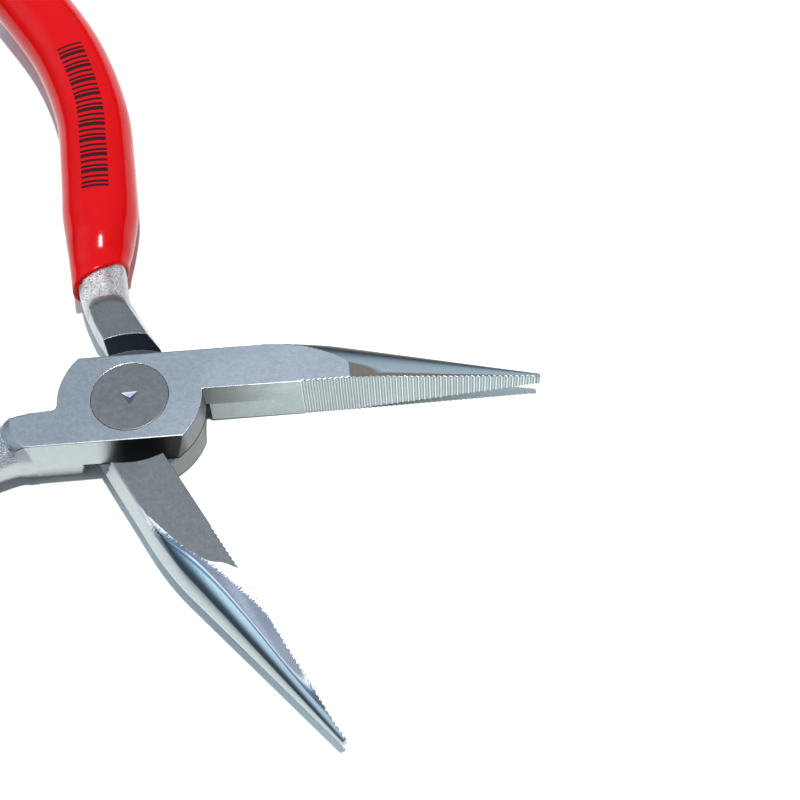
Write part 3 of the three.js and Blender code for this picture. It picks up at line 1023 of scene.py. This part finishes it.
def red_dip(name, printed):
    """Glossy red dipped vinyl. On one grip it carries a plain row of printed bars."""
    material, n, shader = surface(name, IOR=1.45, Specular_IOR_Level=0.2)
    spot = n.attribute("spot", "Vector")
    along = n.attribute("along")
    across = n.attribute("across")
    broad = n.noise(spot, 0.12, 3.0)
    fine = n.noise(spot, 2.2, 3.0)
    shade = shades(n, broad, DIP_SHADES)
    if printed:
        turn = n.math("FRACT", n.math("DIVIDE", along, BAR_SPACING))
        third = n.math("FRACT", n.math("DIVIDE", along, 3 * BAR_SPACING))
        bar = n.math("LESS_THAN", turn, n.ramp(third, 0.3, 0.4, 0.72, 0.46))
        within_length = n.times(n.ramp(along, BARS_START, BARS_START + 0.05),
                                n.ramp(along, BARS_END, BARS_END + 0.05, 1.0, 0.0))
        within_width = n.times(n.ramp(across, BARS_LOW, BARS_LOW + 0.08),
                               n.ramp(across, BARS_HIGH, BARS_HIGH + 0.08, 1.0, 0.0))
        outer_face = n.ramp(n.parts(spot)[2], 0.0, -0.2)
        print_share = n.times(bar, within_length, within_width, outer_face, 0.95)
        shade = n.mix(print_share, shade, colour(PRINT))
    n.put(shader.inputs["Base Color"], shade)
    n.put(shader.inputs["Roughness"], n.ramp(fine, 0.3, 0.7, 0.13, 0.17))
    n.put(shader.inputs["Normal"], bump(n, n.plus(n.times(broad, 0.12), n.times(fine, 0.008))))
    return material


# ---------------------------------------------------------------- the object
# What differs between the two forgings' finishes. Both are the same steel: the lower one's darker ground
# flats are painted shade, its lighter shank painted light, and the upper one's brown facet a painted
# reflection.
# The grain is a direction in radians, the strip and the dull, painted-dark level are shares of the nose's
# depth and height, and the rest are colours, roughnesses and shares.
UPPER_LOOK = {"ground": (0.515, 0.53, 0.575), "roughness": 0.28, "grain": 0.1, "fade": 0.1,
              "inner": (0.25, 0.205, 0.175), "inner_roughness": 0.3, "strip": 0.17, "painted_light": 0.0,
              "polish_root_reflection": (0.68, 0.73, 0.77), "dull_painted_dark_level": 0.88, "dull_painted_dark": (0.04, 0.04, 0.045),
              "shank": (0.62, 0.68, 0.76), "tip_glow": 0.0}
LOWER_LOOK = {"ground": (0.29, 0.28, 0.285), "roughness": 0.26, "grain": 1.2, "fade": 0.02,
              "inner": (0.33, 0.35, 0.43), "inner_roughness": 0.2, "strip": 0.1, "painted_light": 1.0,
              "polish_root_reflection": (0.40, 0.55, 0.80), "dull_painted_dark_level": 0.69, "dull_painted_dark": (0.15, 0.185, 0.23),
              "shank": (1.0, 0.96, 0.95), "tip_glow": 0.6}

build_half("upper", steel("upper_steel", UPPER_LOOK))
build_half("lower", steel("lower_steel", LOWER_LOOK))
build_rivet(rivet_steel())
grips = [build_grip("upper", red_dip("upper_red_dip", printed=False)),
         build_grip("lower", red_dip("lower_red_dip", printed=True))]


# ---------------------------------------------------------------- floor, light and camera
CAMERA_AT = Vector((0.10092, -0.09384, 0.21919))
CAMERA_DOWN = math.radians(58.63)
CAMERA_ROLL = math.radians(3.31)
CAMERA_LENS = 72.11
CAMERA_SENSOR = 36
AWAY_TURN = OPEN_ANGLE / 2 - math.radians(1.27)
FLOOR_REST = 0.0295
FLOOR_GAP = 0.00005
FLOOR_REACH = 20.0
FLOOR_COLOUR = (0.94, 0.96, 0.95)
KEY_ENERGY = 3.4
KEY_SIZE = math.radians(3)
KEY_COLOUR = (1.0, 0.985, 0.96)
KEY_TILT = math.radians(7)
KEY_BACK = math.radians(4)
SKY_STOPS = [(0.0, (0.02, 0.022, 0.026)), (0.12, (0.04, 0.045, 0.05)), (0.24, (0.24, 0.30, 0.37)),
             (0.62, (0.42, 0.52, 0.58)), (0.85, (0.51, 0.615, 0.71)), (1.0, (0.58, 0.69, 0.76))]
WINDOW_COLOUR = (0.52, 0.76, 0.88)
WINDOW_AWAY = 0.1
WINDOW_LEFT = 0.74
WINDOW_UP = 0.66


def away_axes():
    """Level unit vectors to the right of the picture and away from the camera."""
    right = Vector((math.cos(AWAY_TURN), math.sin(AWAY_TURN), 0))
    return right, Vector((-right.y, right.x, 0))


def make_camera():
    """A camera that looks down on the open jaws, rolled a little."""
    right, away = away_axes()
    forward = away * math.cos(CAMERA_DOWN) - Vector((0, 0, math.sin(CAMERA_DOWN)))
    level_up = away * math.sin(CAMERA_DOWN) + Vector((0, 0, math.cos(CAMERA_DOWN)))
    side = right * math.cos(CAMERA_ROLL) - level_up * math.sin(CAMERA_ROLL)
    up = right * math.sin(CAMERA_ROLL) + level_up * math.cos(CAMERA_ROLL)
    data = bpy.data.cameras.new("camera")
    data.lens = CAMERA_LENS
    data.sensor_width = CAMERA_SENSOR
    data.clip_start = 0.01
    camera = bpy.data.objects.new("camera", data)
    axes = Matrix((side, up, -forward)).transposed()
    camera.matrix_world = Matrix.Translation(CAMERA_AT) @ axes.to_4x4()
    bpy.context.scene.collection.objects.link(camera)
    bpy.context.scene.camera = camera


def make_floor():
    """A pale floor that touches the jaws and the grips, so it falls a little towards the handles."""
    low_points = [v.co for grip in grips for v in grip.data.vertices]
    slope = max(p.z / (p.x - FLOOR_REST) for p in low_points)
    mesh = bpy.data.meshes.new("floor")
    corners = [(x, y, slope * (x - FLOOR_REST) - FLOOR_GAP)
               for x, y in ((-FLOOR_REACH, -FLOOR_REACH), (FLOOR_REACH, -FLOOR_REACH),
                            (FLOOR_REACH, FLOOR_REACH), (-FLOOR_REACH, FLOOR_REACH))]
    mesh.from_pydata(corners, [], [(0, 1, 2, 3)])
    material, _, _ = surface("floor", Base_Color=colour(FLOOR_COLOUR), Roughness=0.8)
    mesh.materials.append(material)
    floor = bpy.data.objects.new("floor", mesh)
    bpy.context.scene.collection.objects.link(floor)


def make_key():
    """The sun, nearly overhead: a little to the right, and a little towards the camera."""
    right, away = away_axes()
    data = bpy.data.lights.new("key", "SUN")
    data.energy = KEY_ENERGY
    data.angle = KEY_SIZE
    data.color = KEY_COLOUR
    key = bpy.data.objects.new("key", data)
    towards = (right * math.tan(KEY_TILT) - away * math.tan(KEY_BACK) + Vector((0, 0, 1))).normalized()
    key.rotation_mode = "QUATERNION"
    key.rotation_quaternion = towards.to_track_quat("Z", "Y")
    bpy.context.scene.collection.objects.link(key)


def make_sky():
    """Soft light from above, dimmer on the camera's side, with a pale window high on the left."""
    right, away = away_axes()
    world = bpy.data.worlds.new("studio")
    world.use_nodes = True
    bpy.context.scene.world = world
    n = Nodes(world.node_tree)
    direction = n.add("ShaderNodeTexCoord").outputs["Generated"]
    rise = n.parts(direction)[2]
    sky = n.add("ShaderNodeValToRGB", {0: rise})
    while len(sky.color_ramp.elements) < len(SKY_STOPS):
        sky.color_ramp.elements.new(0.5)
    for element, (place, shade) in zip(sky.color_ramp.elements, SKY_STOPS):
        element.position = place
        element.color = colour(shade)
    dimmed = n.scaled(sky.outputs[0], n.ramp(n.dot(direction, away), -0.5, 0.3, 0.4, 1.0))
    window_at = (away * WINDOW_AWAY - right * WINDOW_LEFT + Vector((0, 0, WINDOW_UP))).normalized()
    close = n.ramp(n.dot(direction, window_at), 0.84, 0.96)
    window = n.scaled(WINDOW_COLOUR, n.times(close, n.ramp(rise, 0.3, 0.45)))
    total = n.add("ShaderNodeVectorMath", {0: dimmed, 1: window}, operation="ADD").outputs[0]
    n.put(world.node_tree.nodes["Background"].inputs["Color"], total)


make_camera()
make_floor()
make_key()
make_sky()
bpy.context.scene.view_settings.view_transform = "Standard"
